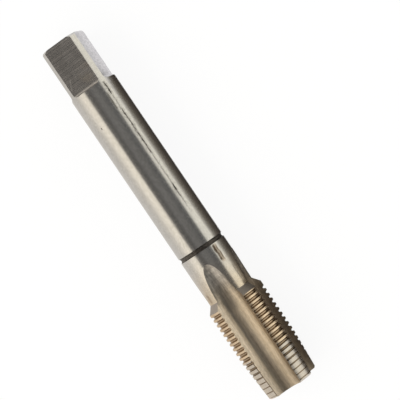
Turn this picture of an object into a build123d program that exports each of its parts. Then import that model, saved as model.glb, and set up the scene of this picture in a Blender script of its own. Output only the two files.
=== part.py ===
from build123d import *
from math import ceil, cos, radians, sin, tan
import os

# Hand tap, metric fine thread, first (roughing) tap of a set: right-hand, four straight flutes.
# Millimetres. The origin is the centre of the drive-end face, +X runs along the axis to the
# cutting end and +Z is up. One flat of the square faces straight up, and the flutes stand a
# little off from the flats.

# Whole tool and shank
overall_length = 90.0
shank_diameter = 11.2
drive_end_chamfer = 0.45

# Driving square, cut by a wheel that leaves a round run-out at the shoulder
square_width = 8.85
square_length = 11.3
square_runout_radius = 0.9

# Groove round the shank that marks the first tap of the set
ring_groove_position = 54.2
ring_groove_width = 1.05
ring_groove_depth = 0.34

# Thread
thread_major_diameter = 14.0
thread_minor_diameter = 13.0
thread_pitch = 1.25
thread_root_flat = 0.24
thread_flank_angle = 60.0
thread_length = 22.5
rear_cone_length = 1.7
groove_break_angle = 10.0

# Cutting lead and cutting end
lead_length = 9.8
lead_angle = 4.0
lead_relief = 0.12
tip_chamfer = 0.35

# Flutes, milled by a disc cutter of round section
flute_count = 4
flute_offset_angle = 2.0
flute_angle_at_crest = 57.0
core_diameter = 7.6
flute_cutter_radius = 30.0
flute_cutter_sweep = 60.0
flute_full_depth_length = 22.1

# Lathe centres in the two ends
centre_pilot_diameter = 2.0
centre_pilot_length = 2.0
centre_mouth_diameter = 4.25
centre_cone_angle = 60.0
centre_drill_point_angle = 118.0

# How far a cutter stands clear of the metal that it starts from
cutter_clearance = 0.1

shank_radius = shank_diameter / 2
major_radius = thread_major_diameter / 2
minor_radius = thread_minor_diameter / 2
core_radius = core_diameter / 2
ring_half_width = ring_groove_width / 2
flute_interval = 360 / flute_count

# Places along the axis
thread_start = overall_length - thread_length
cone_start = thread_start - rear_cone_length
lead_start = overall_length - lead_length
flute_full_depth_start = overall_length - flute_full_depth_length

# Lathe centre, as depths below the end face
centre_mouth_radius = centre_mouth_diameter / 2
centre_pilot_radius = centre_pilot_diameter / 2
centre_cone_depth = (centre_mouth_radius - centre_pilot_radius) / tan(radians(centre_cone_angle / 2))
centre_wall_depth = centre_cone_depth + centre_pilot_length
centre_point_depth = centre_wall_depth + centre_pilot_radius / tan(radians(centre_drill_point_angle / 2))


def lead_radius(distance_from_lead_start):
    """Radius of the tapered lead at a distance from where it leaves the full thread."""
    return major_radius - distance_from_lead_start * tan(radians(lead_angle))


# The space that the wheel clears for one flat of the square: the flat, its round run-out and the
# wall of the shoulder.
with BuildPart() as flat_cutter:
    flat_height = square_width / 2
    cutter_top = shank_radius + cutter_clearance
    shoulder = square_length + square_runout_radius
    with BuildSketch(Plane.XZ):
        with BuildLine():
            Polyline(
                (shoulder, flat_height + square_runout_radius),
                (shoulder, cutter_top),
                (-cutter_clearance, cutter_top),
                (-cutter_clearance, flat_height),
                (square_length, flat_height),
            )
            TangentArc(
                (square_length, flat_height),
                (shoulder, flat_height + square_runout_radius),
                tangent=(1, 0),
            )
        make_face()
    extrude(amount=cutter_top, both=True)

# One turn of the thread groove, a V with a flat root carried along a right-hand helix. The turn
# is broken inside a flute, where no metal is left for it to cut.
with BuildPart() as groove_turn:
    groove_height = major_radius + cutter_clearance - minor_radius
    root_half_width = thread_root_flat / 2
    mouth_half_width = root_half_width + groove_height * tan(radians(thread_flank_angle / 2))
    with BuildLine():
        groove_path = Helix(
            pitch=thread_pitch,
            height=thread_pitch * (360 - groove_break_angle) / 360,
            radius=minor_radius,
            direction=(1, 0, 0),
        )
    path_start = groove_path @ 0
    outward = Vector(0, path_start.Y, path_start.Z)
    with BuildSketch(Plane(origin=path_start, x_dir=outward, z_dir=groove_path % 0)):
        with BuildLine():
            Polyline(
                (0, -root_half_width),
                (groove_height, -mouth_half_width),
                (groove_height, mouth_half_width),
                (0, root_half_width),
                close=True,
            )
        make_face()
    sweep(path=groove_path, is_frenet=True)

# The space that the disc cutter clears for one flute: a round channel at full depth, and the arc
# on which the disc climbs out through the shank.
with BuildPart() as flute_cutter:
    half_mouth = major_radius * sin(radians(flute_angle_at_crest / 2))
    flute_depth = major_radius * cos(radians(flute_angle_at_crest / 2)) - core_radius
    flute_radius = (half_mouth**2 + flute_depth**2) / (2 * flute_depth)
    disc_axis = Axis(
        (flute_full_depth_start, 0, core_radius + flute_cutter_radius),
        (0, 1, 0),
    )
    with BuildSketch(Plane.YZ.offset(flute_full_depth_start)) as flute_section:
        with Locations((0, core_radius + flute_radius)):
            Circle(flute_radius)
    extrude(amount=flute_full_depth_length + cutter_clearance)
    revolve(profiles=flute_section.sketch, axis=disc_axis, revolution_arc=flute_cutter_sweep)

# The grinding of one land's lead, the land behind the uppermost flute. The cone that is
# ground stands on an axis set off towards that flute, so that the crest falls away behind its
# cutting edge and is lowest at the heel.
with BuildPart() as lead_relief_cutter:
    edge_angle = radians(flute_angle_at_crest / 2)
    heel_angle = radians(flute_interval - flute_angle_at_crest / 2)
    set_off = lead_relief / (cos(edge_angle) - cos(heel_angle))
    edge_height = set_off * cos(edge_angle)
    cut_length = lead_length + cutter_clearance
    with BuildSketch(Plane.XZ):
        with Locations((lead_start, set_off)):
            Polygon(
                (0, lead_radius(0) - edge_height),
                (cut_length, lead_radius(cut_length) - edge_height),
                (cut_length, major_radius + cutter_clearance),
                (0, major_radius + cutter_clearance),
                align=None,
            )
    revolve(axis=Axis((0, 0, set_off), (-1, 0, 0)), revolution_arc=flute_interval)

# The first turn's mouth opens at the end of the rear cone. Each turn starts in the flute next
# to the uppermost, and the last one's mouth is clear of the tip.
groove_start = thread_start + mouth_half_width
groove_start_angle = groove_break_angle / 2 - flute_interval - flute_offset_angle
groove_turns = ceil((overall_length + mouth_half_width - groove_start) / thread_pitch)

# The tap, one piece of steel. The blank is turned with its lathe centres, the square and the
# flutes are milled in it, and the lead and the thread are ground last.
with BuildPart() as hand_tap:
    with BuildSketch(Plane.XZ):
        with BuildLine():
            Polyline(
                (centre_point_depth, 0),
                (centre_wall_depth, centre_pilot_radius),
                (centre_cone_depth, centre_pilot_radius),
                (0, centre_mouth_radius),
                (0, shank_radius - drive_end_chamfer),
                (drive_end_chamfer, shank_radius),
                (ring_groove_position - ring_half_width, shank_radius),
            )
            ThreePointArc(
                (ring_groove_position - ring_half_width, shank_radius),
                (ring_groove_position, shank_radius - ring_groove_depth),
                (ring_groove_position + ring_half_width, shank_radius),
            )
            Polyline(
                (ring_groove_position + ring_half_width, shank_radius),
                (cone_start, shank_radius),
                (thread_start, major_radius),
                (lead_start, major_radius),
                (overall_length - tip_chamfer, lead_radius(lead_length - tip_chamfer)),
                (overall_length, lead_radius(lead_length - tip_chamfer) - tip_chamfer),
                (overall_length, centre_mouth_radius),
                (overall_length - centre_cone_depth, centre_pilot_radius),
                (overall_length - centre_wall_depth, centre_pilot_radius),
                (overall_length - centre_point_depth, 0),
                (centre_point_depth, 0),
            )
        make_face()
    revolve(axis=Axis.X)
    for flat in range(4):
        add(flat_cutter.part, rotation=(flat * 90, 0, 0), mode=Mode.SUBTRACT)
    for flute in range(flute_count):
        flute_angle = flute * flute_interval - flute_offset_angle
        add(flute_cutter.part, rotation=(flute_angle, 0, 0), mode=Mode.SUBTRACT)
        add(lead_relief_cutter.part, rotation=(flute_angle, 0, 0), mode=Mode.SUBTRACT)
    with Locations(*[(groove_start + turn * thread_pitch, 0, 0) for turn in range(groove_turns)]):
        add(groove_turn.part, rotation=(groove_start_angle, 0, 0), mode=Mode.SUBTRACT)

hand_tap.part.label = "hand_tap"
os.makedirs("parts", exist_ok=True)
export_step(hand_tap.part, "parts/hand_tap.step")
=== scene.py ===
import math

import bmesh
import bpy
import numpy as np
from bpy.props import FloatProperty, FloatVectorProperty, IntProperty, PointerProperty
from bpy.types import Operator, Panel, PropertyGroup
from mathutils import Matrix, Vector


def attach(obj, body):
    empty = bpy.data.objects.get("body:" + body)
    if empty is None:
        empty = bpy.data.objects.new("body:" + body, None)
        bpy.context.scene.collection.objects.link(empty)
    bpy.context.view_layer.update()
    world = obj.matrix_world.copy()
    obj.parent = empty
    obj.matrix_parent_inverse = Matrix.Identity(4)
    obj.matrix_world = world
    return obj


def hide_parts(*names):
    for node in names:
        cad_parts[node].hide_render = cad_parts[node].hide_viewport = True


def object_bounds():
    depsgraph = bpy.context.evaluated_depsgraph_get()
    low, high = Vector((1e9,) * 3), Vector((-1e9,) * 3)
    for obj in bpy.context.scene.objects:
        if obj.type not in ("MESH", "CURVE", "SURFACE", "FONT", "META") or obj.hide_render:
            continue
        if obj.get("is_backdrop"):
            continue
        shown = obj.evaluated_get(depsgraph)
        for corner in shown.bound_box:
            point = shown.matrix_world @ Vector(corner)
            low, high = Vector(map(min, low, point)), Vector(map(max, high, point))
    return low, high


bl_info = {
    "name": "Hand Tap",
    "version": (1, 0, 0),
    "blender": (4, 5, 0),
    "location": "View3D > Sidebar > Hand Tap",
    "description": "Builds a fine-thread hand tap with ground-steel finishes, and its studio",
    "category": "Add Mesh",
}

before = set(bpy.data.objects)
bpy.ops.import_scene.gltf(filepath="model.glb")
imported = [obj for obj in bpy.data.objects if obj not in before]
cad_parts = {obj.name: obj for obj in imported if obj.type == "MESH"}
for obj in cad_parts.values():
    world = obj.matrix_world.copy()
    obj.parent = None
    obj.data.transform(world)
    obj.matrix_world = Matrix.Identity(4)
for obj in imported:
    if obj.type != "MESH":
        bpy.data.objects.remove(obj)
cad_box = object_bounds()


def length(name, description, default):
    """A size in metres that the user can change."""
    return FloatProperty(
        name=name, description=description, default=default, min=0, precision=5, unit="LENGTH"
    )


def angle(name, description, degrees):
    """An angle that the user can change, given in degrees."""
    return FloatProperty(
        name=name, description=description, default=math.radians(degrees), unit="ROTATION"
    )


def tone(name, description, default):
    """A linear colour that the user can change."""
    return FloatVectorProperty(
        name=name, description=description, default=default, size=3, min=0, max=4, subtype="COLOR"
    )


def share(name, description, default):
    """A plain number from nought to one."""
    return FloatProperty(
        name=name, description=description, default=default, min=0, max=1, subtype="FACTOR"
    )


class TapSizes(PropertyGroup):
    """Sizes of the tap, as its maker would give them."""

    overall_length: length("Overall length", "Drive end to cutting end", 0.09)
    shank_diameter: length("Shank", "Across the round shank", 0.0112)
    drive_end_chamfer: length("Drive-end chamfer", "Chamfer of the corners of the square", 0.00045)
    square_width: length("Square", "Across the flats of the driving square", 0.00885)
    square_length: length("Square length", "Full length of the flats", 0.0113)
    square_runout: length("Square run-out", "Radius left by the wheel at the shoulder", 0.0009)
    ring_position: length("Ring groove", "Drive end to the middle of the ring groove", 0.0542)
    ring_width: length("Ring groove width", "Width of the ring groove", 0.00105)
    ring_depth: length("Ring groove depth", "Depth of the ring groove", 0.00034)
    thread_major: length("Thread crests", "Across the crests of the thread", 0.014)
    thread_minor: length("Thread roots", "Across the roots of the thread", 0.013)
    thread_pitch: length("Pitch", "Advance of the thread in one turn", 0.00125)
    root_flat: length("Root flat", "Width of the flat root", 0.00024)
    flank_angle: angle("Flank angle", "Angle between two flanks", 60)
    thread_length: length("Thread length", "Length of the threaded end", 0.0225)
    cone_length: length("Rear cone", "Length of the cone behind the thread", 0.0017)
    groove_start: length("First root", "Drive end to the first turn of the root", 0.0679664)
    groove_break: angle("Thread start", "Where the first turn starts, in the flute", 5)
    lead_length: length("Lead length", "Length of the tapered lead", 0.0098)
    lead_angle: angle("Lead angle", "Slope of the lead", 4)
    lead_relief: length("Lead relief", "Fall of the lead from cutting edge to heel", 0.00012)
    tip_chamfer: length("Tip chamfer", "Chamfer of the cutting end", 0.00035)
    flute_turn: angle("Flute turn", "How far the flutes stand off from the flats", 2)
    flute_angle: angle("Flute opening", "Angle that a flute takes at the crests", 57)
    core_diameter: length("Core", "Thickness of the web between the flutes", 0.0076)
    cutter_radius: length("Flute cutter", "Radius of the disc that cuts the flutes", 0.03)
    flute_length: length("Flute length", "Length of the flute at full depth", 0.0221)
    centre_mouth: length("Centre mouth", "Across the mouth of a lathe centre", 0.00425)
    centre_pilot: length("Centre pilot", "Across the pilot of a lathe centre", 0.002)
    pilot_length: length("Pilot length", "Straight part of the pilot", 0.002)
    centre_cone: angle("Centre cone", "Cone of a lathe centre", 60)
    drill_point: angle("Drill point", "Point of the pilot", 118)


class TapMesh(PropertyGroup):
    """How fine the tap's mesh is."""

    channel_columns: IntProperty(
        name="Flute columns", description="Strips across a flute or a flat", default=26, min=8
    )
    land_columns: IntProperty(
        name="Land columns", description="Strips across a land", default=26, min=8
    )
    sharp_angle: angle("Sharp edge", "Edges that turn by more than this stay sharp", 14)


class TapFinish(PropertyGroup):
    """Colours and finish of the steel."""

    shank: tone("Shank", "Ground round of the shank", (0.60, 0.585, 0.56))
    shank_warm: tone("Shank by the thread", "Warmer steel near the thread", (0.66, 0.56, 0.43))
    flat: tone("Flats", "Ground flats of the square", (0.575, 0.55, 0.53))
    end_face: tone("Ends", "Turned end faces and lathe centres", (0.46, 0.45, 0.44))
    ring: tone("Ring groove", "Bottom of the ring groove", (0.11, 0.10, 0.09))
    flute: tone("Flutes", "Ground channels", (0.66, 0.56, 0.42))
    flute_shade: tone("Flute lines", "Duller grinding lines in the flutes", (0.46, 0.38, 0.29))
    cone: tone("Rear cone", "Turned cone behind the thread", (0.265, 0.237, 0.21))
    crest: tone("Crests", "Crests of the full thread", (0.73, 0.585, 0.425))
    # The flanks are darker than the crests by painted shade in the thread's grooves
    flank: tone("Flanks", "Flanks and roots of the thread", (0.42, 0.32, 0.22))
    lead: tone("Lead", "Freshly ground lead", (0.58, 0.53, 0.47))
    shank_roughness: share("Shank roughness", "Polish of the shank", 0.2)
    flat_roughness: share("Flat roughness", "Polish of the flats", 0.27)
    flute_roughness: share("Flute roughness", "Polish of the flutes", 0.46)
    thread_roughness: share("Thread roughness", "Polish of the thread", 0.26)


class StudioSettings(PropertyGroup):
    """The floor, the light and the camera."""

    floor_colour: tone("Floor", "Colour of the floor and backdrop", (1.0, 1.0, 1.0))
    floor_glow: share("Floor glow", "Share of the floor's colour that takes no shadow", 0.88)
    world_light: FloatProperty(name="World", description="Even light", default=0.72, min=0)
    left_light: FloatProperty(name="Left box", description="Soft box, left", default=1.25, min=0)
    right_light: FloatProperty(name="Right box", description="Soft box, right", default=1.0, min=0)
    camera_distance: length("Camera distance", "Lens to the tap", 0.35)
    camera_lean: angle("Camera lean", "Camera off the vertical", 15.5)
    camera_roll: angle("Camera roll", "Turn of the picture against the tap", 55.902)
    camera_lens: FloatProperty(name="Lens", description="Focal length, mm", default=144.05, min=10)
    aim_along: length("Aim along", "Drive end to where the camera aims", 0.04539)
    aim_aside: length("Aim aside", "Axis to where the camera aims", 0.00562)


# Working out where a flute comes out of a land: the widest angle tried on the flute's circle, how
# often the range is halved, and how often edge and thread are set against each other
WIDEST_EDGE = math.radians(100)
HALVINGS = 40
EDGE_ROUNDS = 6
# How often a corner of a crest is set against the outside of the land
CREST_ROUNDS = 3
# How far a flute's inner columns reach towards the angle at which the thread's roots are met
INNER_SHARE = 0.95


def blank_radius(x, s):
    """Radius of the turned blank at a distance along the axis: straight lines from corner to
    corner, and in the ring groove the arc of a circle through its two mouths and its bottom."""
    shank = s.shank_diameter / 2
    crest = s.thread_major / 2
    thread_start = s.overall_length - s.thread_length
    lead_start = s.overall_length - s.lead_length
    tip = s.overall_length - s.tip_chamfer
    tip_radius = crest - (tip - lead_start) * math.tan(s.lead_angle)
    corners = (
        (0, shank - s.drive_end_chamfer),
        (s.drive_end_chamfer, shank),
        (thread_start - s.cone_length, shank),
        (thread_start, crest),
        (lead_start, crest),
        (tip, tip_radius),
        (s.overall_length, tip_radius - s.tip_chamfer),
    )
    r = np.interp(x, *np.transpose(corners))
    half = s.ring_width / 2
    arc = (half**2 + s.ring_depth**2) / (2 * s.ring_depth)
    away = np.minimum(np.abs(x - s.ring_position), half)
    return np.where(away < half, shank - s.ring_depth + arc - np.sqrt(arc**2 - away**2), r)


def relieved_radius(x, theta, s):
    """Radius of the lead behind a cutting edge: a circle whose centre is set off towards the
    flute in front, r = e cos(a) + sqrt(c^2 - e^2 sin^2(a)), with a the angle from that flute."""
    edge = s.flute_angle / 2
    heel = math.pi / 2 - edge
    behind = math.pi / 2 - np.mod(theta, math.pi / 2)
    e = s.lead_relief / (math.cos(edge) - math.cos(heel))
    c = blank_radius(x, s) - e * math.cos(edge)
    return e * np.cos(behind) + np.sqrt(c**2 - (e * np.sin(behind)) ** 2)


def outer_radius(x, theta, s, relieved):
    """Radius of a land without its thread."""
    return relieved_radius(x, theta, s) if relieved else blank_radius(x, s)


def root_place(theta, s):
    """Where the first turn of the root crosses an angle: it climbs by the pitch in one turn."""
    return s.groove_start + s.thread_pitch * (theta - s.groove_break) / (2 * math.pi)


def land_radius(x, theta, s, relieved):
    """Radius of a land with its thread: a V with a flat root, repeated each pitch, cut off by the
    outside of the land."""
    turns = (x - root_place(theta, s)) / s.thread_pitch
    away = np.abs(turns - np.maximum(np.round(turns), 0)) * s.thread_pitch
    flank = np.maximum(away - s.root_flat / 2, 0) / math.tan(s.flank_angle / 2)
    return np.minimum(outer_radius(x, theta, s, relieved), s.thread_minor / 2 + flank)


def flute_radius(s):
    """Radius of the flute's round section, from its depth and width at the crests."""
    half = s.thread_major / 2 * math.sin(s.flute_angle / 2)
    depth = s.thread_major / 2 * math.cos(s.flute_angle / 2) - s.core_diameter / 2
    return (half**2 + depth**2) / (2 * depth)


def flute_point(x, phi, s):
    """Side and height of a point of a flute, seen along its own middle: a circle at full depth,
    and before that the same circle swung about the axis of the disc."""
    rho = flute_radius(s)
    axis_height = s.core_diameter / 2 + s.cutter_radius
    reach = s.cutter_radius - rho + rho * np.cos(phi)
    back = np.maximum(s.overall_length - s.flute_length - x, 0)
    return rho * np.sin(phi), axis_height - np.sqrt(np.maximum(reach**2 - back**2, 0))


def flute_edge(x, r, s):
    """Angle on the flute's circle at which the flute comes out at a radius, by halving the
    range that holds it."""
    low = np.zeros(np.broadcast(x, r).shape)
    high = np.full(low.shape, WIDEST_EDGE)
    for _ in range(HALVINGS):
        middle = (low + high) / 2
        side, height = flute_point(x, middle, s)
        inside = side**2 + height**2 < r**2
        low, high = np.where(inside, middle, low), np.where(inside, high, middle)
    return low


class Columns:
    """The columns of the grid: in each quarter, one set across the flat or flute and one across
    the land behind it."""

    def __init__(self, mesh):
        inner = np.linspace(-1, 1, mesh.channel_columns - 1)
        edge = 1 + inner[1] - inner[0]
        self.across = np.concatenate(([-edge], inner, [edge])) / edge
        self.inner = 1 / edge
        self.along = np.linspace(0, 1, mesh.land_columns + 1)[1:-1]
        self.quarter = np.arange(4)[:, None] * math.pi / 2

    def join(self, channel, land):
        """Rows by quarter by column, as rows by all columns."""
        both = np.concatenate((channel, land), axis=2)
        return both.reshape(len(both), -1)

    def kinds(self):
        """Which strips of faces lie in a flat or flute."""
        channel = np.ones(len(self.across) - 1, bool)
        land = np.zeros(len(self.along) + 1, bool)
        return np.tile(np.concatenate((channel, land)), 4)


def polar(x, r, theta):
    """Points from distance along the axis, radius and angle from +Y towards +Z."""
    x, r, theta = np.broadcast_arrays(x, r, theta)
    return np.stack((x, r * np.cos(theta), r * np.sin(theta)), axis=-1)


def ring_rows(x, r, half, turn, cols):
    """Rows round the axis, with the channel columns within the angle half of each quarter's
    start, and all of them turned back by the angle turn."""
    x, r, half, turn = (np.asarray(a, float)[:, None, None] for a in (x, r, half, turn))
    channel = cols.quarter + half * cols.across
    land = cols.quarter + half + (math.pi / 2 - 2 * half) * cols.along
    theta = cols.join(channel - turn, land - turn)
    return polar(x[:, 0], r[:, 0], theta)


def flat_rows(x, r, height, cols):
    """Rows with four flats at a height, and the round between them."""
    x, r, height = (np.asarray(a, float)[:, None, None] for a in (x, r, height))
    half = np.arccos(np.minimum(height / r, 1))
    side = np.sqrt(np.maximum(r**2 - height**2, 0)) * cols.across
    flat = cols.quarter + np.arctan2(side, height)
    land = cols.quarter + half + (math.pi / 2 - 2 * half) * cols.along
    return polar(
        x[:, 0],
        cols.join(np.hypot(side, height) + 0 * flat, r + 0 * land),
        cols.join(flat, land),
    )


def fluted_rows(place, s, cols, relieved):
    """Rows with four flutes. place(theta) gives each row's distance along the axis at an angle.
    The two edges of each flute are where its surface comes out of the land. Angles are counted
    from the middle of a flute until the last line, which turns the whole row. The thread starts
    in the first flute, so that flute's near edge is a whole turn on."""
    turn = cols.quarter + np.array([[2 * math.pi, 0], [0, 0], [0, 0], [0, 0]])
    side = np.array([-1.0, 1.0])
    theta = (turn + side * s.flute_angle / 2)[None]
    for _ in range(EDGE_ROUNDS):
        x = place(theta)
        phi = flute_edge(x, land_radius(x, theta, s, relieved), s)
        out, up = flute_point(x, phi, s)
        theta = turn + side * np.arctan2(out, up)
    x = place(theta)
    step = (cols.across + 1) / 2
    channel_x = x[..., :1] + (x[..., 1:] - x[..., :1]) * step
    floor_r = np.minimum(blank_radius(channel_x, s) - relieved * s.lead_relief, s.thread_minor / 2)
    inner = flute_edge(channel_x, floor_r, s) * INNER_SHARE
    edges = phi[..., :1] + (phi[..., 1:] - phi[..., :1]) * step
    at_edge = np.abs(cols.across) > cols.inner + 1e-6
    swing = np.where(at_edge, np.sign(cols.across) * edges, cols.across / cols.inner * inner)
    out, up = flute_point(channel_x, swing, s)
    channel_theta = cols.quarter + np.arctan2(out, up)
    start = theta[..., 1:]
    end = np.roll(theta[..., :1], -1, axis=1)
    land_theta = start + (end - start) * cols.along
    land_x = place(land_theta)
    return polar(
        cols.join(channel_x, land_x),
        cols.join(np.hypot(out, up), land_radius(land_x, land_theta, s, relieved)),
        cols.join(channel_theta, land_theta) - s.flute_turn,
    )


def square_places(x):
    """Rows square to the axis, as places for fluted_rows."""
    return lambda theta: x[:, None, None] + 0 * theta


def thread_places(s, low, high, relieved):
    """Rows that follow the helix, from one end of the thread to the other, and what each strip
    between two is: for each turn, its distance from the root's middle is that of the corner of
    the last crest, the two corners of the root, the corner of the next crest, and its middle."""
    keys = np.array([[-1, 1], [-1, 0], [1, 0], [1, 1], [1, 2]], float)
    count = math.ceil((s.overall_length - s.groove_start) / s.thread_pitch) + 1
    turn = np.repeat(np.arange(count), len(keys))[:, None, None]
    keys = np.tile(keys, (count, 1))
    sign, key = keys[:, 0, None, None], keys[:, 1, None, None]

    def place(theta):
        root = root_place(theta, s) + turn * s.thread_pitch
        x = root + 0 * key
        for _ in range(CREST_ROUNDS):
            rise = np.maximum(outer_radius(x, theta, s, relieved) - s.thread_minor / 2, 0)
            flank = s.root_flat / 2 + rise * math.tan(s.flank_angle / 2)
            crest = np.where(key == 1, flank, s.thread_pitch / 2)
            x = root + sign * np.where(key == 0, s.root_flat / 2, crest)
        return np.clip(x, low, high)

    return place, np.tile(["flank", "root", "flank", "crest", "crest"], count)


def hand_tap_rows(s, mesh):
    """All rows of the tap, from the bottom of one lathe centre over the outside to the bottom of
    the other, and what each strip between two rows is."""
    cols = Columns(mesh)
    shank = s.shank_diameter / 2
    height = s.square_width / 2
    end = s.overall_length
    thread_start = end - s.thread_length
    lead_start = end - s.lead_length
    cone_start = thread_start - s.cone_length
    full_depth = end - s.flute_length
    shoulder = s.square_length + s.square_runout
    shoulder_height = height + s.square_runout
    climb = s.core_diameter / 2 + s.cutter_radius - shank
    flute_tip = full_depth - math.sqrt(s.cutter_radius**2 - climb**2)
    rows, strips = [], []

    def add(points, strip):
        rows.append(points)
        strips.extend([strip] * len(points) if isinstance(strip, str) else strip)

    mouth, pilot = s.centre_mouth / 2, s.centre_pilot / 2
    cone = (mouth - pilot) / math.tan(s.centre_cone / 2)
    wall = cone + s.pilot_length
    point = wall + pilot / math.tan(s.drill_point / 2)
    half_start = math.acos(height / (shank - s.drive_end_chamfer))

    # Drive end: lathe centre, end face, chamfered square and its run-out
    depth = np.array([point, wall, cone, cone / 2, 0])
    radius = np.array([0, pilot, pilot, (mouth + pilot) / 2, mouth])
    add(ring_rows(depth, radius, half_start + 0 * depth, 0 * depth, cols), "end")
    outline = flat_rows([0], [shank - s.drive_end_chamfer], [height], cols)
    inner = ring_rows([0], [mouth], [half_start], [0], cols)
    for t in (0.33, 0.66):
        add(inner + (outline - inner) * t, "end")
    for x in (
        np.linspace(0, s.drive_end_chamfer, 3),
        np.linspace(s.drive_end_chamfer, s.square_length, 9)[1:],
    ):
        add(flat_rows(x, blank_radius(x, s), height + 0 * x, cols), "square")
    bend = np.linspace(0, math.pi / 2, 11)[1:]
    x = s.square_length + s.square_runout * np.sin(bend)
    h = height + s.square_runout * (1 - np.cos(bend))
    add(flat_rows(x, blank_radius(x, s), h, cols), ["runout"] * (len(x) - 1) + ["shoulder"])

    # Plain shank with its ring groove. The flat's columns narrow to the tips of the flutes.
    half = math.acos(shoulder_height / shank)
    reach = 2 * math.atan(2 * s.ring_depth / s.ring_width)
    swing = np.sin(reach * np.linspace(-1, 1, 19)) / math.sin(reach)
    before = np.linspace(shoulder, s.ring_position - s.ring_width / 2, 12)[:-1]
    groove = s.ring_position + s.ring_width / 2 * swing
    after = np.linspace(s.ring_position + s.ring_width / 2, flute_tip, 4)[1:-1]
    x = np.concatenate((before, groove, after))
    still = (flute_tip - x) / (flute_tip - shoulder)
    add(
        ring_rows(x, blank_radius(x, s), half * still, s.flute_turn * (1 - still), cols),
        ["shank"] * len(before) + ["ring"] * (len(groove) - 1) + ["shank"] * (len(after) + 1),
    )

    # Flutes climbing out through the shank, the rear cone and the first edge of the thread
    t = np.linspace(0, 1, 27)
    x = flute_tip + (cone_start - flute_tip) * t[:-1] ** 2
    add(fluted_rows(square_places(x), s, cols, False), "climb")
    x = np.linspace(cone_start, thread_start, 5)
    add(fluted_rows(square_places(x), s, cols, False), ["cone"] * 4 + ["crest"])

    # Thread and lead
    for low, high, relieved in (
        (thread_start, lead_start, False),
        (lead_start, end - s.tip_chamfer, True),
    ):
        place, zone = thread_places(s, low, high, relieved)
        points = fluted_rows(place, s, cols, relieved)
        if relieved:
            zone = np.where(zone == "crest", "lead", zone)
        far, near = points[..., 0].max(axis=1), points[..., 0].min(axis=1)
        live = np.flatnonzero((far > low + 1e-7) & (near < high - 1e-7))
        live = np.arange(max(live[0] - 1, 0), min(live[-1] + 2, len(points)))
        zone[live[-1]] = "lead"
        add(points[live], list(zone[live]))
    x = np.linspace(end - s.tip_chamfer, end, 5)
    add(fluted_rows(square_places(x), s, cols, True), ["lead"] * 4 + ["end"])

    # Cutting end: face and lathe centre
    outline = rows[-1][-1:]
    theta = np.arctan2(outline[..., 2], outline[..., 1])
    inner = polar(np.array([[end]]), mouth, theta)
    for t in (0.6, 0.3, 0):
        add(inner + (outline - inner) * t, "end")
    for deep, r in ((cone / 2, (mouth + pilot) / 2), (cone, pilot), (wall, pilot), (point, 0)):
        add(polar(np.array([[end - deep]]), r, theta), "end")
    return np.concatenate(rows), strips, cols


# The finishes of each kind of strip: in a flute or flat, and on the round or land
ZONES = {
    "end": ("tap_end_face", "tap_end_face"),
    "square": ("tap_flat", "tap_shank"),
    "runout": ("tap_flat", "tap_shank"),
    "shoulder": ("tap_flat", "tap_shank"),
    "shank": ("tap_shank", "tap_shank"),
    "climb": ("tap_flute", "tap_shank"),
    "ring": ("tap_ring_groove", "tap_ring_groove"),
    "cone": ("tap_flute", "tap_rear_cone"),
    "crest": ("tap_flute", "tap_crest"),
    "flank": ("tap_flute", "tap_flank"),
    "root": ("tap_flute", "tap_flank"),
    "lead": ("tap_flute", "tap_lead"),
}


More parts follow.
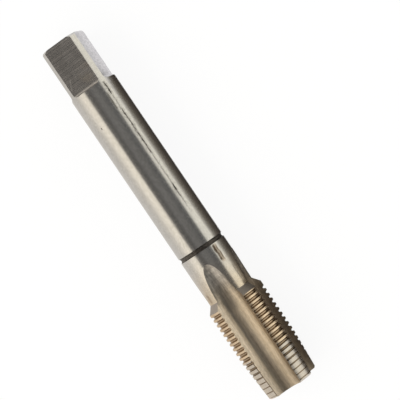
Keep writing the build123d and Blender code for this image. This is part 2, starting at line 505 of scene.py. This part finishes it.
class Nodes:
    """Adds nodes to a new material or world and joins them. A value that is a socket is
    linked."""

    def __init__(self, name, kind="materials"):
        self.made = getattr(bpy.data, kind).new(name)
        self.made.use_nodes = True
        self.tree = self.made.node_tree
        self.tree.nodes.clear()

    def put(self, socket, value):
        """Link a socket to another, or set its value."""
        if isinstance(value, bpy.types.NodeSocket):
            self.tree.links.new(value, socket)
        else:
            socket.default_value = value

    def add(self, kind, inputs=None, **settings):
        """A node with its settings and its inputs, by name or number."""
        node = self.tree.nodes.new(kind)
        for key, value in settings.items():
            setattr(node, key, value)
        for key, value in (inputs or {}).items():
            self.put(node.inputs[key], value)
        return node

    def math(self, operation, a, b=None, c=None):
        """One sum on up to three values."""
        inputs = {i: v for i, v in enumerate((a, b, c)) if v is not None}
        return self.add("ShaderNodeMath", inputs, operation=operation).outputs[0]

    def ramp(self, value, low, high, to_low=0.0, to_high=1.0, smooth=True):
        """Value carried from one range to another, and held at the ends."""
        kind = "SMOOTHSTEP" if smooth else "LINEAR"
        ends = {"From Min": low, "From Max": high, "To Min": to_low, "To Max": to_high}
        node = self.add("ShaderNodeMapRange", {"Value": value, **ends}, interpolation_type=kind)
        return node.outputs[0]

    def mix(self, factor, a, b, blend="MIX"):
        """Colour a, changed by a factor towards colour b."""
        node = self.tree.nodes.new("ShaderNodeMix")
        node.data_type = "RGBA"
        node.blend_type = blend
        for socket, value in ((node.inputs[0], factor), (node.inputs[6], a), (node.inputs[7], b)):
            if isinstance(value, tuple) and len(value) == 3:
                value = (*value, 1)
            self.put(socket, value)
        return node.outputs[2]

    def shades(self, value, stops):
        """Colour by a value, from stops in rising order."""
        low, high = stops[0][0], stops[-1][0]
        node = self.add("ShaderNodeValToRGB", {0: self.ramp(value, low, high, smooth=False)})
        marks = node.color_ramp.elements
        for at, shade in stops[1:-1]:
            marks.new((at - low) / (high - low)).color = (*shade, 1)
        marks[0].color = (*stops[0][1], 1)
        marks[-1].color = (*stops[-1][1], 1)
        return node.outputs[0]

    def near(self, value, middle, core, edge):
        """One within a distance of a place, falling to nought at a further distance."""
        away = self.math("ABSOLUTE", self.math("SUBTRACT", value, middle))
        return self.ramp(away, core, edge, 1, 0)

    def all_of(self, *factors):
        """Product of several factors."""
        whole = factors[0]
        for factor in factors[1:]:
            whole = self.math("MULTIPLY", whole, factor)
        return whole

    def place(self):
        """Object coordinates, whole and split."""
        whole = self.add("ShaderNodeTexCoord").outputs["Object"]
        split = self.add("ShaderNodeSeparateXYZ", {0: whole}).outputs
        return whole, split[0], split[1], split[2]

    def mottled(self, colour, grain, low, high):
        """Colour made darker and lighter by a grain."""
        return self.mix(1.0, colour, self.ramp(grain, 0.3, 0.7, low, high), "MULTIPLY")

    def past_flute(self, y, z):
        """Angle from +Y towards +Z, counted from the middle of the last flute passed."""
        turn = bpy.context.scene.tap_sizes.flute_turn
        turned = self.math("ADD", self.math("ARCTAN2", z, y), turn)
        return self.math("FLOORED_MODULO", turned, math.pi / 2)

    def noise(self, where, scale, stretch, detail, roughness=0.55, shift=(0, 0, 0)):
        """Noise whose grain is 1/scale metres, drawn out by the stretch."""
        mapped = self.add(
            "ShaderNodeMapping",
            {"Vector": where, "Location": shift, "Scale": tuple(scale / k for k in stretch)},
        ).outputs[0]
        inputs = {"Vector": mapped, "Scale": 1.0, "Detail": detail, "Roughness": roughness}
        return self.add("ShaderNodeTexNoise", inputs).outputs[0]

    def steel(self, colour, roughness, height, strength, bare=1.0):
        """Metal with its colour, roughness and fine relief. Bare is one where it shines as metal
        and less where it is matte."""
        bump = {"Height": height, "Strength": strength, "Distance": 0.00001}
        inputs = {"Base Color": colour, "Roughness": roughness, "Metallic": bare}
        inputs["Normal"] = self.add("ShaderNodeBump", bump).outputs[0]
        return self.close(self.add("ShaderNodeBsdfPrincipled", inputs))

    def close(self, shader, output="ShaderNodeOutputMaterial"):
        """Join the shader to the output, and give back what was made."""
        self.tree.links.new(shader.outputs[0], self.add(output).inputs[0])
        return self.made

    def seen(self):
        """One where the camera or the steel looks, and nought for the light on other things."""
        paths = self.add("ShaderNodeLightPath").outputs
        eye = self.math("MAXIMUM", paths["Is Camera Ray"], paths["Is Glossy Ray"])
        return self.math("MAXIMUM", eye, paths["Is Transmission Ray"])


def darker(colour, k):
    """Colour made darker by a factor, or lighter by one above one."""
    return tuple(c * k for c in colour)


def shank_material(f):
    """Ground round: fine lines round the axis, a fine grain, a line of pits along one side, a
    brown stain below the ring groove, and warmer steel near the thread."""
    n = Nodes("tap_shank")
    where, x, y, z = n.place()
    around = n.math("ARCTAN2", z, y)
    lines = n.noise(where, 12000, (1, 120, 120), 2)
    broad = n.noise(where, 260, (4, 1, 1), 3)
    mottle = n.noise(where, 1500, (1.6, 1, 1), 4, 0.65)
    colour = n.mix(n.ramp(x, 0.055, 0.067), tuple(f.shank), tuple(f.shank_warm))
    colour = n.mix(n.ramp(broad, 0.3, 0.7, 0, 0.2), colour, darker(f.shank, 0.7))
    colour = n.mix(n.ramp(mottle, 0.35, 0.7, 0, 0.22), colour, darker(f.shank, 0.62))
    colour = n.mottled(colour, n.noise(where, 5200, (2, 1, 1), 3, 0.6, (5, 2, 1)), 0.91, 1.08)
    # Line of pits, in line with one corner of the square: short dark strokes on a grey streak
    wander = n.ramp(n.noise(where, 450, (1, 30, 30), 2, 0.6), 0, 1, 0.765, 0.83, False)
    off = n.math("SUBTRACT", around, wander)
    grain = n.noise(where, 2600, (2.4, 1, 1), 4, 0.75)
    patches = n.ramp(n.noise(where, 420, (1, 30, 30), 3, 0.6, (7, 0, 0)), 0.3, 0.5, 0.25, 1)
    thick = n.math("MAXIMUM", n.near(x, 0.0253, 0.0046, 0.0068), n.near(x, 0.0407, 0.0008, 0.0022))
    thick = n.math("MAXIMUM", thick, n.near(x, 0.0139, 0.0012, 0.0026))
    whole = n.math("MULTIPLY", n.ramp(x, 0.0122, 0.013), n.ramp(x, 0.048, 0.042))
    strong = n.all_of(n.math("MULTIPLY_ADD", thick, 0.6, 0.4), patches, whole)
    pits = n.all_of(n.near(off, 0, 0.008, 0.045), strong, n.ramp(grain, 0.36, 0.52, 0.15, 1))
    cracks = n.noise(where, 3400, (1.5, 1, 1), 3, 0.6, (1, 6, 3))
    streak = n.all_of(n.near(off, 0, 0.03, 0.13), strong, n.ramp(cracks, 0.44, 0.6, 0.1, 0.75))
    # A lone pit on the far side, and a short second line beside the first
    lone = n.all_of(n.near(around, 1.946, 0.008, 0.03), n.near(x, 0.0208, 0.0001, 0.00035))
    pits = n.math("MAXIMUM", pits, lone)
    second = n.all_of(n.near(around, 0.945, 0.012, 0.06), n.near(x, 0.0172, 0.0015, 0.0027))
    streak = n.math("MAXIMUM", streak, n.all_of(second, n.ramp(grain, 0.35, 0.55, 0.15, 0.75)))
    colour = n.mix(streak, colour, (0.17, 0.16, 0.14))
    colour = n.mix(pits, colour, (0.045, 0.04, 0.035))
    # Stain: two wavy brown strokes with a thin stain between them
    wave = n.noise(where, 900, (1, 30, 30), 3, 0.6, (4, 0, 0))
    wave = n.ramp(wave, 0.25, 0.75, -0.028, 0.028, False)
    bent = n.math("ADD", n.math("SUBTRACT", around, 0.80), wave)
    left = n.all_of(n.near(bent, 0.05, 0.03, 0.07), n.near(x, 0.0568, 0.0016, 0.0022))
    other = n.all_of(n.near(bent, -0.06, 0.012, 0.05), n.near(x, 0.0570, 0.0009, 0.0022), 0.75)
    stroke = n.all_of(n.math("MAXIMUM", left, other), n.ramp(grain, 0.34, 0.54, 0.3, 0.95))
    between = n.all_of(n.near(bent, 0, 0.06, 0.11), n.near(x, 0.0570, 0.0016, 0.0026))
    colour = n.mix(n.math("MULTIPLY", between, 0.6), colour, (0.27, 0.20, 0.13))
    colour = n.mix(stroke, colour, (0.11, 0.08, 0.055))
    # Brown smudge on the other side, next to the rear cone
    smudge = n.all_of(n.near(around, 2.33, 0.03, 0.14), n.near(x, 0.0643, 0.0004, 0.0016))
    smudge = n.all_of(smudge, n.ramp(grain, 0.35, 0.6, 0.1, 0.6))
    colour = n.mix(smudge, colour, (0.20, 0.14, 0.09))
    # A few dark specks all over
    specks = n.ramp(n.noise(where, 2600, (1, 1, 1), 2, 0.6, (3, 1, 2)), 0.73, 0.78, 0, 0.8)
    colour = n.mix(specks, colour, (0.12, 0.10, 0.08))
    rough = n.ramp(lines, 0.3, 0.7, f.shank_roughness - 0.03, f.shank_roughness + 0.06)
    marks = n.math("MAXIMUM", n.math("MAXIMUM", pits, stroke), n.math("MULTIPLY", streak, 0.5))
    rough = n.math("MULTIPLY_ADD", marks, 0.3, rough)
    height = n.math("SUBTRACT", n.math("MULTIPLY_ADD", mottle, 0.5, lines), marks)
    return n.steel(colour, rough, height, 0.12)


def flat_material(f):
    """Ground flats: grinding lines across the axis and clouded steel. The upper flat has a slanting
    scratch with a painted shadow beside it, and a warm spot. The one towards +Y is a little bluer,
    with painted light: paler low down and darker higher up."""
    n = Nodes("tap_flat")
    where, x, y, z = n.place()
    lines = n.noise(where, 3200, (1, 400, 400), 2, 0.5)
    fine = n.noise(where, 9000, (1, 400, 400), 2, 0.5, (1, 4, 2))
    cloud = n.noise(where, 420, (1.5, 1, 1), 3, 0.5, (2, 0, 5))
    colour = n.mix(n.ramp(lines, 0.32, 0.68), darker(f.flat, 0.88), darker(f.flat, 1.06))
    colour = n.mix(n.ramp(fine, 0.35, 0.65, 0, 0.2), colour, darker(f.flat, 1.18))
    colour = n.mix(n.ramp(cloud, 0.35, 0.65, 0, 0.6), colour, darker(f.flat, 0.68))
    # Darker towards -Y and in the run-out
    colour = n.mix(n.ramp(y, -0.002, 0.003, 0.4, 0.05), colour, darker(f.flat, 0.6))
    colour = n.mix(n.ramp(x, 0.0113, 0.0119, 0, 0.5), colour, darker(f.flat, 0.35))
    # Scratch: near a slanting line on the upper flat, with a painted shadow beside it
    top = n.ramp(z, 0.003, 0.004)
    slant = n.math("MULTIPLY_ADD", y, 2.0, n.math("SUBTRACT", x, 0.0042))
    scratch = n.all_of(n.near(slant, 0, 0.00015, 0.0005), n.near(x, 0.0093, 0.0009, 0.0014), top)
    colour = n.mix(n.math("MULTIPLY", scratch, 0.6), colour, darker(f.flat, 1.3))
    # Painted shadow: a darker patch beside the scratch
    shade = n.all_of(n.near(slant, 0.0011, 0.0002, 0.0011), n.near(x, 0.0082, 0.0006, 0.0022), top)
    colour = n.mix(n.math("MULTIPLY", shade, 0.35), colour, darker(f.flat, 0.6))
    # Warm spot: an ellipse, 6 mm along and 5 mm across, that fades from its middle
    spot_x = n.math("POWER", n.math("MULTIPLY", n.math("SUBTRACT", x, 0.0088), 330), 2)
    spot_y = n.math("POWER", n.math("MULTIPLY", n.math("SUBTRACT", y, 0.0020), 400), 2)
    spot = n.ramp(n.math("ADD", spot_x, spot_y), 0, 1, 0.5, 0)
    spot = n.all_of(spot, top, n.ramp(cloud, 0.35, 0.6))
    colour = n.mix(spot, colour, (0.68, 0.60, 0.50))
    # The flat towards +Y: a little bluer, with painted light, paler low down and darker higher up
    right = n.ramp(y, 0.0040, 0.0044)
    # Painted light: paler towards the floor, darker higher up
    side_tint_painted_light = n.mix(n.ramp(z, -0.002, 0.0036, 0, 0.8, False), (0.62, 0.60, 0.615), (0.40, 0.39, 0.39))
    side_tint_painted_light = n.mix(n.ramp(cloud, 0.35, 0.7, 0, 0.25), side_tint_painted_light, (0.49, 0.475, 0.50))
    grain = n.noise(where, 2600, (1, 1, 3), 3, 0.6, (5, 2, 1))
    colour = n.mix(right, colour, n.mottled(side_tint_painted_light, grain, 0.82, 1.15))
    rough = n.ramp(lines, 0.25, 0.75, f.flat_roughness - 0.04, f.flat_roughness + 0.06)
    height = n.math("MULTIPLY_ADD", fine, 0.15, lines)
    return n.steel(colour, rough, height, 0.1)


def end_material(f):
    """Turned ends: fine rings round the centre."""
    n = Nodes("tap_end_face")
    where, x, y, z = n.place()
    radius = n.math("SQRT", n.math("ADD", n.math("MULTIPLY", y, y), n.math("MULTIPLY", z, z)))
    ring = n.add("ShaderNodeCombineXYZ", {0: radius, 1: n.math("MULTIPLY", x, 0.3)}).outputs[0]
    lines = n.noise(ring, 7000, (1, 1, 1), 2)
    broad = n.noise(where, 500, (1, 1, 1), 3)
    colour = n.mix(n.ramp(lines, 0.3, 0.7), darker(f.end_face, 0.8), tuple(f.end_face))
    colour = n.mix(n.ramp(broad, 0.4, 0.7, 0, 0.4), colour, darker(f.end_face, 0.6))
    return n.steel(colour, n.ramp(lines, 0.3, 0.7, 0.28, 0.42), lines, 0.3)


def ring_material(f):
    """Dark bottom of the ring groove, with a dull coarse grain."""
    n = Nodes("tap_ring_groove")
    grain = n.noise(n.place()[0], 3500, (1, 2, 2), 3)
    colour = n.mix(n.ramp(grain, 0.3, 0.7), darker(f.ring, 0.6), darker(f.ring, 1.5))
    return n.steel(colour, n.ramp(grain, 0.3, 0.7, 0.45, 0.6), grain, 0.4)


def flute_material(f):
    """Ground channels: lines along the axis, greyer with fine cross lines where they climb out.
    At full depth the wall behind a land is more matte and lighter by painted light, with painted
    shade along its foot, the bottom and the front wall have a painted highlight each, and painted
    shade darkens the steel at the cutting edge. The steel is also darker near the tip."""
    n = Nodes("tap_flute")
    where, x, y, z = n.place()
    lines = n.noise(where, 4200, (70, 1, 1), 3, 0.6)
    fine = n.noise(where, 12000, (60, 1, 1), 2)
    broad = n.noise(where, 260, (4, 1, 1), 3)
    cross = n.noise(where, 3600, (1, 25, 25), 3, 0.6)
    speckle = n.noise(where, 3600, (4, 1, 1), 3, 0.6, (5, 2, 1))
    radius = n.math("SQRT", n.math("MULTIPLY_ADD", y, y, n.math("MULTIPLY", z, z)))
    streaks = n.ramp(lines, 0.3, 0.68)
    # The two walls: the one behind a land and the one ahead, which ends in a cutting edge
    behind = n.ramp(n.past_flute(y, z), 0.7, 0.8, 1, 0)
    ahead = n.math("SUBTRACT", 1, behind)
    deep = n.ramp(x, 0.062, 0.068)
    colour = n.mix(streaks, tuple(f.flute_shade), tuple(f.flute))
    colour = n.mix(n.ramp(broad, 0.35, 0.7, 0, 0.3), colour, tuple(f.flute_shade))
    # Painted light: a lighter colour on the wall behind a land, which is also more matte
    wall = n.all_of(n.ramp(radius, 0.0046, 0.0058), behind, deep)
    colour = n.mix(wall, colour, n.mix(streaks, (0.65, 0.55, 0.41), (0.81, 0.69, 0.54)))
    # Painted shade along the foot of that wall
    foot = n.all_of(n.near(radius, 0.0044, 0.0001, 0.0005), behind, deep)
    colour = n.mix(n.math("MULTIPLY", foot, 0.45), colour, (0.30, 0.27, 0.24))
    # Painted highlight: a bright band along the bottom of the flute
    bottom = n.all_of(n.ramp(radius, 0.0040, 0.0038, 0, 0.6), deep)
    colour = n.mix(bottom, colour, (0.92, 0.79, 0.62))
    # Painted highlight: a bright band on the front wall
    front = n.all_of(n.near(radius, 0.0048, 0.0003, 0.0009), ahead, deep)
    colour = n.mix(n.math("MULTIPLY", front, 0.6), colour, (0.90, 0.78, 0.62))
    # Painted shade on the front wall towards the cutting edge
    lip = n.all_of(n.ramp(radius, 0.0052, 0.0063, 0, 0.45), ahead, deep)
    colour = n.mix(lip, colour, (0.30, 0.25, 0.20))
    colour = n.mix(n.ramp(x, 0.079, 0.087, 0, 0.45), colour, (0.34, 0.28, 0.21))
    # Where the flute climbs out: greyer, then lighter, with plainer lines and a darker patch
    colour = n.mix(n.ramp(x, 0.069, 0.061, 0, 0.8), colour, (0.34, 0.31, 0.28))
    colour = n.mix(n.ramp(x, 0.0650, 0.0600, 0, 0.8), colour, (0.56, 0.53, 0.49))
    dip = n.all_of(n.near(x, 0.0672, 0.0006, 0.0030), n.near(y, -0.0004, 0.0008, 0.0018), 0.5)
    colour = n.mix(dip, colour, (0.25, 0.22, 0.19))
    colour = n.mix(n.ramp(x, 0.069, 0.063), colour, n.mottled(colour, lines, 0.8, 1.22))
    crossed = n.all_of(n.ramp(x, 0.074, 0.062, 0, 0.3), n.ramp(cross, 0.4, 0.65))
    colour = n.mix(crossed, colour, (0.2, 0.18, 0.16))
    rim = n.all_of(n.ramp(radius, 0.0050, 0.0055, 0, 0.7), n.ramp(x, 0.0670, 0.0645))
    rim = n.math("MULTIPLY", rim, n.ramp(x, 0.0590, 0.0635, 0.2, 1))
    colour = n.mix(rim, colour, (0.12, 0.11, 0.10))
    colour = n.mottled(colour, speckle, 0.88, 1.13)
    rough = n.ramp(lines, 0.25, 0.75, f.flute_roughness - 0.06, f.flute_roughness + 0.08)
    rough = n.math("MULTIPLY_ADD", wall, 0.38, rough)
    height = n.math("MULTIPLY_ADD", fine, 0.5, lines)
    return n.steel(colour, rough, height, 0.35, bare=n.math("MULTIPLY_ADD", wall, -0.75, 1.0))


def cone_material(f):
    """Turned rear cone, matte, and lighter towards -Y."""
    n = Nodes("tap_rear_cone")
    where, _, y, _ = n.place()
    lines = n.noise(where, 6000, (1, 30, 30), 2)
    colour = n.mix(n.ramp(lines, 0.3, 0.7), darker(f.cone, 0.85), darker(f.cone, 1.15))
    colour = n.mix(n.ramp(y, 0.001, -0.003), colour, darker(f.cone, 1.45))
    return n.steel(colour, n.ramp(lines, 0.3, 0.7, 0.45, 0.53), lines, 0.2)


def thread_material(name, tint, f, stain=0.3, seam=0.0, fade=0.0):
    """Ground thread: fine lines round the axis and a light stain. Seam is how dark the heel of
    the land towards -Y is, and fade how dark the steel gets towards the cutting end."""
    n = Nodes(name)
    where, x, y, z = n.place()
    lines = n.noise(where, 14000, (1, 60, 60), 2)
    broad = n.noise(where, 900, (1, 1, 1), 3)
    colour = n.mix(n.ramp(broad, 0.35, 0.7, 0, stain), tuple(tint), darker(tint, 0.6))
    heel = n.near(n.past_flute(y, z), bpy.context.scene.tap_sizes.flute_angle / 2, 0.03, 0.07)
    colour = n.mix(n.all_of(heel, n.ramp(y, 0, -0.001), seam), colour, (0.10, 0.07, 0.04))
    colour = n.mix(n.ramp(x, 0.077, 0.084, 0, fade), colour, darker(tint, 0.2))
    rough = n.ramp(lines, 0.3, 0.7, f.thread_roughness - 0.04, f.thread_roughness + 0.06)
    return n.steel(colour, rough, lines, 0.15)


def tap_materials(f):
    """All finishes of the tap, by name."""
    made = [
        shank_material(f),
        flat_material(f),
        end_material(f),
        ring_material(f),
        flute_material(f),
        cone_material(f),
        thread_material("tap_crest", f.crest, f),
        # Flanks and roots: painted shade makes them darker than the crests
        thread_material("tap_flank", f.flank, f, fade=0.6),
        thread_material("tap_lead", f.lead, f, 0.08, 0.8),
    ]
    return {m.name: m for m in made}


class TAP_OT_hand_tap(Operator):
    """Build the tap: one closed surface over the blank, square, flutes and thread"""

    bl_idname = "tap.hand_tap"
    bl_label = "Build hand tap"

    def execute(self, context):
        scene = context.scene
        points, strips, cols = hand_tap_rows(scene.tap_sizes, scene.tap_mesh)
        rows, columns = points.shape[:2]
        index = np.arange(rows * columns).reshape(rows, columns)
        ahead = np.roll(index, -1, axis=1)
        faces = np.stack((index[:-1], ahead[:-1], ahead[1:], index[1:]), axis=-1).reshape(-1, 4)
        mesh = bpy.data.meshes.new("ground_hand_tap")
        mesh.from_pydata(points.reshape(-1, 3), [], faces)
        finishes = tap_materials(scene.tap_finish)
        for material in finishes.values():
            mesh.materials.append(material)
        order = list(finishes)
        channel = cols.kinds()
        which = [
            np.where(channel, order.index(ZONES[strip][0]), order.index(ZONES[strip][1]))
            for strip in strips[:-1]
        ]
        mesh.polygons.foreach_set("material_index", np.concatenate(which).astype(np.int32))
        work = bmesh.new()
        work.from_mesh(mesh)
        bmesh.ops.remove_doubles(work, verts=work.verts, dist=1e-7)
        bmesh.ops.dissolve_degenerate(work, edges=work.edges, dist=1e-8)
        work.to_mesh(mesh)
        work.free()
        mesh.polygons.foreach_set("use_smooth", np.ones(len(mesh.polygons), bool))
        mesh.set_sharp_from_angle(angle=scene.tap_mesh.sharp_angle)
        piece = bpy.data.objects.new("ground_hand_tap", mesh)
        context.collection.objects.link(piece)
        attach(piece, "root")
        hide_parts("hand_tap")
        return {"FINISHED"}


# What the steel sees above the floor: angle from straight up towards +Y in degrees, and colour
TUNNEL = (
    (-92, (0.84, 0.80, 0.75)),
    (-75, (0.90, 0.86, 0.79)),
    (-61, (1.14, 1.07, 0.96)),
    (-48, (1.36, 1.27, 1.11)),
    (-31, (1.32, 1.24, 1.09)),
    (-26, (0.17, 0.165, 0.16)),
    (-14, (0.145, 0.14, 0.135)),
    (-6, (0.14, 0.135, 0.13)),
    (6, (0.235, 0.23, 0.225)),
    (20, (0.24, 0.235, 0.225)),
    (40, (0.15, 0.15, 0.15)),
    (54, (0.15, 0.15, 0.15)),
    (59, (1.14, 1.11, 1.01)),
    (72, (1.22, 1.19, 1.07)),
    (92, (1.18, 1.15, 1.03)),
)

# What it sees on the side of +Y below that, dark next to the tap as painted shade standing in for a
# neighbouring tap and its shadow: distance from the axis in metres, and colour
SIDE = (
    (0.006, (0.05, 0.042, 0.036)),
    (0.012, (0.085, 0.072, 0.062)),
    (0.02, (0.17, 0.15, 0.125)),
    (0.04, (0.36, 0.34, 0.30)),
    (0.065, (0.60, 0.57, 0.50)),
    (0.17, (0.84, 0.82, 0.74)),
    (0.3, (0.98, 0.96, 0.88)),
)


def glow(n, shade):
    """Surface that is seen at its own plain colour, whatever the light."""
    return n.close(n.add("ShaderNodeEmission", {"Color": shade, "Strength": 1.0}))


def tunnel_material():
    """Inside of the tunnel, plain colours by the angle from straight up towards +Y."""
    n = Nodes("studio_tunnel")
    y, z = n.place()[2:]
    return glow(n, n.shades(n.math("DEGREES", n.math("ARCTAN2", y, z)), TUNNEL))


def side_material():
    """Card beside the tap, dark at the tap and paler with the distance from it: painted shade that
    stands in for a neighbouring tap and its shadow.
    """
    n = Nodes("side_card")
    return glow(n, n.shades(n.place()[2], SIDE))


def floor_material(studio):
    """Pale floor: it takes the light and the tap's shadow, and the camera and the steel see part
    of its colour without shadow."""
    n = Nodes("studio_floor")
    white = (*studio.floor_colour, 1)
    lit = n.add("ShaderNodeBsdfDiffuse", {"Color": white})
    plain = n.add("ShaderNodeEmission", {"Color": white, "Strength": 1.0})
    factor = n.math("MULTIPLY", n.seen(), studio.floor_glow)
    both = {0: factor, 1: lit.outputs[0], 2: plain.outputs[0]}
    return n.close(n.add("ShaderNodeMixShader", both))


def stage_sheet(name, points, material, steel_only=True, faces=None):
    """A sheet of the stage, one face unless its faces are given. One for the steel alone shows
    only in its reflections."""
    mesh = bpy.data.meshes.new(name)
    mesh.from_pydata(np.array(points, float), [], faces or [range(len(points))])
    mesh.materials.append(material)
    sheet = bpy.data.objects.new(name, mesh)
    bpy.context.collection.objects.link(sheet)
    if steel_only:
        sheet.visible_camera = False
        sheet.visible_diffuse = False
        sheet.visible_shadow = False
    sheet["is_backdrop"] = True


def tunnel_sheet(radius=0.7, reach=3.0, half=90.5, steps=64):
    """Half tunnel over the tap: a round arch carried along the axis, down to the floor on both
    sides."""
    turn = np.radians(np.linspace(-half, half, steps + 1))
    arch = np.stack((radius * np.sin(turn), radius * np.cos(turn)), axis=-1)
    ends = [np.column_stack((np.full(len(arch), x), arch)) for x in (-reach, reach)]
    points = np.stack(ends, axis=1).reshape(-1, 3)
    near = 2 * np.arange(steps)
    faces = np.stack((near, near + 1, near + 3, near + 2), axis=-1).tolist()
    stage_sheet("studio_tunnel", points, tunnel_material(), faces=faces)


def soft_box(name, lean, half_width, brightness, tint, distance=0.5, reach=1.2):
    """Long soft box beside the tap, at an angle in degrees from straight up towards +Y. Its
    power is pi times its area times its brightness."""
    lean = math.radians(lean)
    lamp = bpy.data.lights.new(name, "AREA")
    lamp.shape = "RECTANGLE"
    lamp.size = 2 * reach
    lamp.size_y = 2 * distance * math.tan(math.radians(half_width))
    lamp.color = tint
    lamp.energy = math.pi * lamp.size * lamp.size_y * brightness
    box = bpy.data.objects.new(name, lamp)
    box.rotation_euler = (-lean, 0, 0)
    box.location = (cad_box[1].x / 2, distance * math.sin(lean), distance * math.cos(lean))
    box.visible_camera = False
    box.visible_glossy = False
    bpy.context.collection.objects.link(box)


def level_sheet(outline, z):
    """An outline seen from above, at one height."""
    return [(x, y, z) for x, y in outline]


def rectangle(x_low, x_high, y_low, y_high):
    """Corners of a rectangle seen from above."""
    return [(x_low, y_low), (x_high, y_low), (x_high, y_high), (x_low, y_high)]


def steel_cards(floor):
    """Cards round the tap, in metres, that only the steel sees. Those towards +Y are dark next to
    the tap: painted shade that stands in for a neighbouring tap and its shadow. The three towards
    -Y are plain and get warmer, then paler, towards the tip."""
    lift = floor + 0.0001
    side = side_material()
    # Flat card on the floor towards +Y: painted shade, dark next to the tap
    beside = [(0.0122, 0.006), (0.095, 0.006), (0.095, 0.3), (0.0, 0.3), (0.009, 0.0085)]
    stage_sheet("side_card", level_sheet(beside, lift), side)
    # Upright, level with the thread, and lower beside the lead: painted shade that stands in for
    # the neighbouring tap
    start, end, away = 0.0655, 0.092, 0.0126
    top = [(end, 0.0030), (0.0805, 0.0030), (0.079, 0.0039), (start, 0.0039)]
    upright = [(x, away, z) for x, z in [(start, floor), (end, floor), *top]]
    stage_sheet("thread_card", upright, side)
    # Level, between the thread and that card: painted shade on the flute and land towards +Y
    stage_sheet("flute_card", level_sheet(rectangle(0.061, end, 0.0072, away), 0.0028), side)
    for name, x_low, x_high, shade in (
        ("left_card", -0.2, 0.0655, (0.86, 0.83, 0.79)),
        ("brown_card", 0.0655, 0.081, (0.79, 0.72, 0.63)),
        ("tip_card", 0.081, 0.3, (0.92, 0.86, 0.77)),
    ):
        outline = rectangle(x_low, x_high, -0.5, -0.006)
        stage_sheet(name, level_sheet(outline, lift), glow(Nodes(name), (*shade, 1)))


def even_world(studio):
    """Even light from all round, seen by the camera and the steel as the floor's plain colour."""
    n = Nodes("studio_world", "worlds")
    strength = n.ramp(n.seen(), 0, 1, studio.world_light, 1, smooth=False)
    white = (*studio.floor_colour, 1)
    sky = n.add("ShaderNodeBackground", {"Color": white, "Strength": strength})
    return n.close(sky, "ShaderNodeOutputWorld")


def leaning_camera(studio):
    """Camera that looks down on the tap, leans off the vertical towards +Y, and is turned so that
    the tap lies aslant in the picture."""
    lean, roll = studio.camera_lean, studio.camera_roll
    back = Vector((0, math.sin(lean), math.cos(lean)))
    along = Vector((1, 0, 0))
    side = Vector((0, math.cos(lean), -math.sin(lean)))
    right = along * math.cos(roll) + side * math.sin(roll)
    up = side * math.cos(roll) - along * math.sin(roll)
    target = along * studio.aim_along + side * studio.aim_aside
    camera = bpy.data.objects.new("camera", bpy.data.cameras.new("camera"))
    camera.data.lens = studio.camera_lens
    camera.data.sensor_width = 36
    camera.data.clip_start = 0.01
    turn = Matrix((right, up, back)).transposed().to_4x4()
    camera.matrix_world = Matrix.Translation(target + back * studio.camera_distance) @ turn
    bpy.context.collection.objects.link(camera)
    return camera


class TAP_OT_stage(Operator):
    """Lay the floor, hang the cards and soft boxes, and set the camera"""

    bl_idname = "tap.stage"
    bl_label = "Build stage"

    def execute(self, context):
        scene = context.scene
        studio = scene.tap_studio
        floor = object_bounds()[0].z
        wide = level_sheet(rectangle(-3, 3, -3, 3), floor)
        stage_sheet("studio_floor", wide, floor_material(studio), steel_only=False)
        tunnel_sheet()
        steel_cards(floor)
        soft_box("left_box", -55.5, 25, studio.left_light, (1.0, 0.93, 0.8))
        soft_box("right_box", 72, 15.5, studio.right_light, (1.0, 1.0, 0.9))
        scene.world = even_world(studio)
        scene.camera = leaning_camera(studio)
        scene.view_settings.view_transform = "Standard"
        return {"FINISHED"}


class TAP_PT_panel(Panel):
    """Sizes, finishes and builders of the hand tap"""

    bl_label = "Hand Tap"
    bl_idname = "TAP_PT_panel"
    bl_space_type = "VIEW_3D"
    bl_region_type = "UI"
    bl_category = "Hand Tap"

    def draw(self, context):
        for place, kind in GROUPS.items():
            box = self.layout.box()
            box.label(text=kind.__doc__)
            for name in kind.__annotations__:
                box.prop(getattr(context.scene, place), name)
        self.layout.operator(TAP_OT_hand_tap.bl_idname)
        self.layout.operator(TAP_OT_stage.bl_idname)


GROUPS = {
    "tap_sizes": TapSizes,
    "tap_mesh": TapMesh,
    "tap_finish": TapFinish,
    "tap_studio": StudioSettings,
}
CLASSES = (*GROUPS.values(), TAP_OT_hand_tap, TAP_OT_stage, TAP_PT_panel)


def register():
    for one in CLASSES:
        bpy.utils.register_class(one)
    for name, group in GROUPS.items():
        setattr(bpy.types.Scene, name, PointerProperty(type=group))


def unregister():
    for name in GROUPS:
        delattr(bpy.types.Scene, name)
    for one in reversed(CLASSES):
        bpy.utils.unregister_class(one)


def main():
    """Build the tap and its stage."""
    register()
    bpy.ops.tap.hand_tap()
    bpy.ops.tap.stage()


if __name__ == "__main__":
    main()
